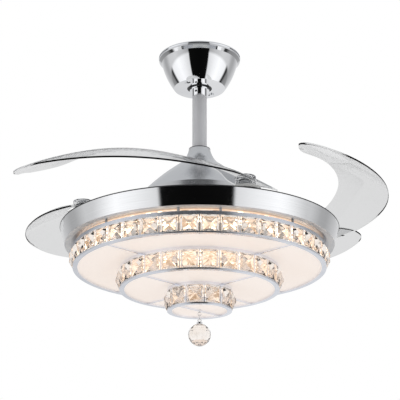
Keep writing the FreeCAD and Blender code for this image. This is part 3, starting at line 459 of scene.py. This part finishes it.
def lit_opal():
    """Diffusers: opal plastic lit from behind, a little warmer towards the edges of its clouds."""
    finish = Finish("lit_opal", Emission_Strength=0.55, IOR=1.45)
    smudge, scratch = finish.marks(cloud=5.0, scratch=600.0)
    finish.colour(smudge, first=(0.62, 0.57, 0.53), second=(0.60, 0.55, 0.50))
    finish.colour(smudge, first=(1.0, 0.895, 0.825), second=(1.0, 0.87, 0.785), target="Emission Color")
    finish.rough(scratch, low=0.35, high=0.5)
    return finish.material


def lit_board():
    """LED boards: white lacquer with rows of warm diodes; the lacquer between them glows in patches, a
    painted glow for light scattered inside the lamp.
    """
    finish = Finish("lit_board", Emission_Strength=3.0)
    place = finish.tree.add("ShaderNodeTexCoord").outputs["Object"]
    cells = finish.tree.add("ShaderNodeTexVoronoi", {"Vector": place, "Scale": 45.0, "Randomness": 0.15})
    diode = finish.tree.spread(cells.outputs["Distance"], low=1.0, high=0.0, start=0.2, end=0.28)
    # Patchy glow of the lacquer between the diodes: painted glow, not a lamp.
    patch = finish.tree.add("ShaderNodeTexNoise", {"Vector": place, "Scale": 70.0, "Detail": 1.0})
    painted_glow_patches = finish.tree.spread(patch.outputs["Fac"], low=0.0, high=1.0, start=0.42, end=0.58)
    painted_field_glow = finish.tree.mix(painted_glow_patches, (0.05, 0.028, 0.012, 1), (0.27, 0.245, 0.22, 1))
    light = finish.tree.mix(diode, painted_field_glow, (1.0, 0.88, 0.72, 1))
    finish.tree.link(light, finish.shader.inputs["Emission Color"])
    finish.colour(diode, first=(0.62, 0.55, 0.46), second=(1.0, 0.85, 0.55))
    finish.rough(diode, low=0.45, high=0.3)
    return finish.material


def painted_warm_glow():
    """Warm glowing band round the pan with a brighter diode-like dot every few millimetres: painted light
    standing in for the pan's underside lit warm by the LED boards.
    """
    finish = Finish("painted_warm_glow", Emission_Strength=0.42)
    place = finish.tree.add("ShaderNodeTexCoord").outputs["Object"]
    cells = finish.tree.add("ShaderNodeTexVoronoi", {"Vector": place, "Scale": 90.0, "Randomness": 0.1})
    diode = finish.tree.spread(cells.outputs["Distance"], low=1.0, high=0.0, start=0.2, end=0.6)
    # Base and emission colours both paint the boards' warm light onto this strip.
    finish.colour(diode, first=(0.80, 0.62, 0.48), second=(0.86, 0.70, 0.56))
    finish.colour(diode, first=(0.95, 0.66, 0.46), second=(1.0, 0.76, 0.56), target="Emission Color")
    finish.rough(diode, low=0.5, high=0.35)
    return finish.material


def soft_rubber(name):
    finish = Finish(name)
    smudge, scratch = finish.marks(cloud=50.0, scratch=600.0)
    finish.colour(smudge, first=(0.03, 0.03, 0.032), second=(0.06, 0.06, 0.062))
    finish.rough(scratch, low=0.6, high=0.8)
    finish.bump(scratch, depth=0.0001, strength=0.25)
    return finish.material


def dress_nodes(crystal):
    """Gives every CAD node its finish."""
    dark = moulded_plastic(
        "dark_plastic", first=(0.05, 0.05, 0.055), second=(0.08, 0.08, 0.085), low=0.4, high=0.55,
    )
    white = moulded_plastic(
        "white_plastic", first=(0.86, 0.86, 0.84), second=(0.80, 0.80, 0.78), low=0.35, high=0.5,
    )
    finishes = {
        spun_chrome(): ("drum_band",),
        satin_chrome(): ("top_cover", "coupling_cover"),
        polished_chrome(): (
            "canopy", "canopy_screws", "rod_collar", "pendant_hook", "pendant_link", "ball_cap",
        ),
        rod_steel(): ("downrod",),
        drawn_steel(): (
            "ball_pin", "coupling_bolt", "top_cover_screws", "motor_shaft", "shaft_nut", "tier_1_spacers",
            "tier_2_screws", "tier_3_screws", "carrier_screws", "pivot_bolts", "pivot_nuts", "return_springs",
            "lower_bearing", "upper_bearing",
        ),
        plated_sheet(): ("drum_pan", "blade_carrier"),
        bracket_painted_shade(): ("hanger_bracket",),
        cast_alloy(): ("coupling", "rotor_lower_shell", "rotor_upper_shell"),
        laminated_core(): ("stator_core", "rotor_magnets"),
        enamelled_copper(): ("stator_windings",),
        dark: ("hanger_ball", "receiver_box"),
        white: ("led_driver", "sync_ring", "blade_gear_1", "blade_gear_2", "blade_gear_3", "blade_gear_4"),
        soft_rubber("soft_rubber"): ("cover_gasket", "lamp_lead"),
        clear_blade_plastic(): ("blade_1", "blade_2", "blade_3", "blade_4"),
        crystal: ("tier_1_crystals", "tier_2_crystals", "tier_3_crystals", "crystal_ball"),
        lit_opal(): ("tier_1_diffuser", "tier_2_diffuser", "tier_3_diffuser"),
        lit_board(): ("tier_1_led_board", "tier_2_led_board", "tier_3_led_board"),
        ring_chrome(): ("tier_1_frame", "tier_2_frame", "tier_3_frame"),
    }
    for finish, names in finishes.items():
        for name in names:
            mesh = nodes[name].data
            mesh.materials.clear()
            mesh.materials.append(finish)


# Cut crystals


def cut_crystal_row(name, girdle, levels, count, finish):
    """A tier's crystals: each a square cut with a pointed crown of split facets and a faceted back."""
    height, middle = levels[1] - levels[0], (levels[0] + levels[1]) / 2
    width = 2 * (girdle - CRYSTAL_BODY) * math.tan(math.pi / count) * CRYSTAL_FILL
    bm = bmesh.new()
    bmesh.ops.create_cube(bm, size=1.0)
    bmesh.ops.scale(bm, verts=bm.verts, vec=(CRYSTAL_BODY, width, height))
    front = max(bm.faces, key=lambda face: face.calc_center_median().x)
    back = min(bm.faces, key=lambda face: face.calc_center_median().x)
    bmesh.ops.scale(bm, verts=back.verts, vec=(1, BACK_SHARE, BACK_SHARE))
    bmesh.ops.poke(bm, faces=[back], offset=BACK_DEPTH)
    table = bmesh.ops.extrude_discrete_faces(bm, faces=[front])["faces"][0]
    bmesh.ops.scale(bm, verts=table.verts, vec=(1, TABLE_SHARE, TABLE_SHARE))
    bmesh.ops.translate(bm, verts=table.verts, vec=(CROWN_HEIGHT, 0, 0))
    crown = list({face for edge in table.edges for face in edge.link_faces if face is not table})
    bmesh.ops.poke(bm, faces=crown, offset=CROWN_SWELL)
    bmesh.ops.translate(bm, verts=bm.verts, vec=(girdle - CRYSTAL_BODY / 2, 0, middle))
    whole = list(bm.verts) + list(bm.edges) + list(bm.faces)
    copies = count - 1
    turn = math.tau * copies / count
    bmesh.ops.spin(
        bm, geom=whole, cent=(0, 0, 0), axis=(0, 0, 1), angle=turn, steps=copies, use_duplicate=True,
    )
    bmesh.ops.recalc_face_normals(bm, faces=bm.faces)
    mesh = bpy.data.meshes.new(name)
    bm.to_mesh(mesh)
    bm.free()
    mesh.materials.append(finish)
    piece = bpy.data.objects.new(name, mesh)
    bpy.context.scene.collection.objects.link(piece)
    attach(piece, "hanger")
    return piece


def crystal_rows(crystal):
    for tier, count in enumerate(CRYSTAL_COUNTS, 1):
        node = "tier_%d_crystals" % tier
        low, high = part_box(node)
        girdle = TIER_RADII[tier - 1]
        piece = cut_crystal_row("cut_crystals_%d" % tier, girdle, (low[2], high[2]), count, crystal)
        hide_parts(node)


# Trim round the drum


def spun_piece(name, bm, outline, finish):
    """Spins an outline about the fan's axis into a closed ring on the hanger."""
    bmesh.ops.spin(
        bm, geom=outline, cent=(0, 0, 0), axis=(0, 0, 1), angle=math.tau, steps=SPIN_STEPS, use_merge=True,
    )
    bmesh.ops.remove_doubles(bm, verts=bm.verts, dist=MERGE_DISTANCE)
    bmesh.ops.recalc_face_normals(bm, faces=bm.faces)
    for face in bm.faces:
        face.smooth = True
    mesh = bpy.data.meshes.new(name)
    bm.to_mesh(mesh)
    bm.free()
    mesh.materials.append(finish)
    piece = bpy.data.objects.new(name, mesh)
    bpy.context.scene.collection.objects.link(piece)
    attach(piece, "hanger")
    return piece


def outline_circle(bm, radius, centre):
    """A small circle in the plane of the fan's axis."""
    upright = Matrix.Translation(centre) @ Matrix.Rotation(math.pi / 2, 4, "X")
    made = bmesh.ops.create_circle(bm, segments=BEAD_SIDES, radius=radius, matrix=upright)
    return made["verts"] + list({edge for vert in made["verts"] for edge in vert.link_edges})


def edge_beads():
    """Dark beads along the top edges of the drum's band and of the coupling cover."""
    # One near-black finish draws a dark line along each of these edges.
    finish = soft_rubber("dark_edge_line")
    for name, radius, level in (
        ("band_edge_bead", RIM_RADIUS - EDGE_BEAD_INSET, RIM_LEVEL),
        ("neck_edge_bead", NECK_RADIUS - EDGE_BEAD_INSET, NECK_LEVEL),
    ):
        bm = bmesh.new()
        outline = outline_circle(bm, EDGE_BEAD_RADIUS, (radius, 0, level))
        spun_piece(name, bm, outline, finish)


def pan_painted_glow_strip():
    """Flat glowing strip on the pan, seen in the gap over the first tier: painted light for the pan's
    underside lit warm by the LED boards.
    """
    bm = bmesh.new()
    made = bmesh.ops.create_circle(bm, segments=4, radius=math.sqrt(0.5))
    verts = made["verts"]
    bmesh.ops.rotate(bm, verts=verts, cent=(0, 0, 0), matrix=Matrix.Rotation(math.pi / 4, 3, "Z"))
    bmesh.ops.rotate(bm, verts=verts, cent=(0, 0, 0), matrix=Matrix.Rotation(math.pi / 2, 3, "X"))
    bmesh.ops.scale(bm, verts=verts, vec=(STRIP_WIDTH, 1, STRIP_THICKNESS))
    middle = (STRIP_INNER_RADIUS + STRIP_WIDTH / 2, 0, PAN_LEVEL - STRIP_THICKNESS / 2)
    bmesh.ops.translate(bm, verts=verts, vec=middle)
    piece = spun_piece("pan_painted_glow_strip", bm, list(bm.verts) + list(bm.edges), painted_warm_glow())
    for face in piece.data.polygons:
        face.use_smooth = False


photo_camera()
studio_world()
studio_floor()
crystal = cut_crystal()
dress_nodes(crystal)
crystal_rows(crystal)
edge_beads()
pan_painted_glow_strip()
bpy.context.scene.view_settings.view_transform = "Standard"
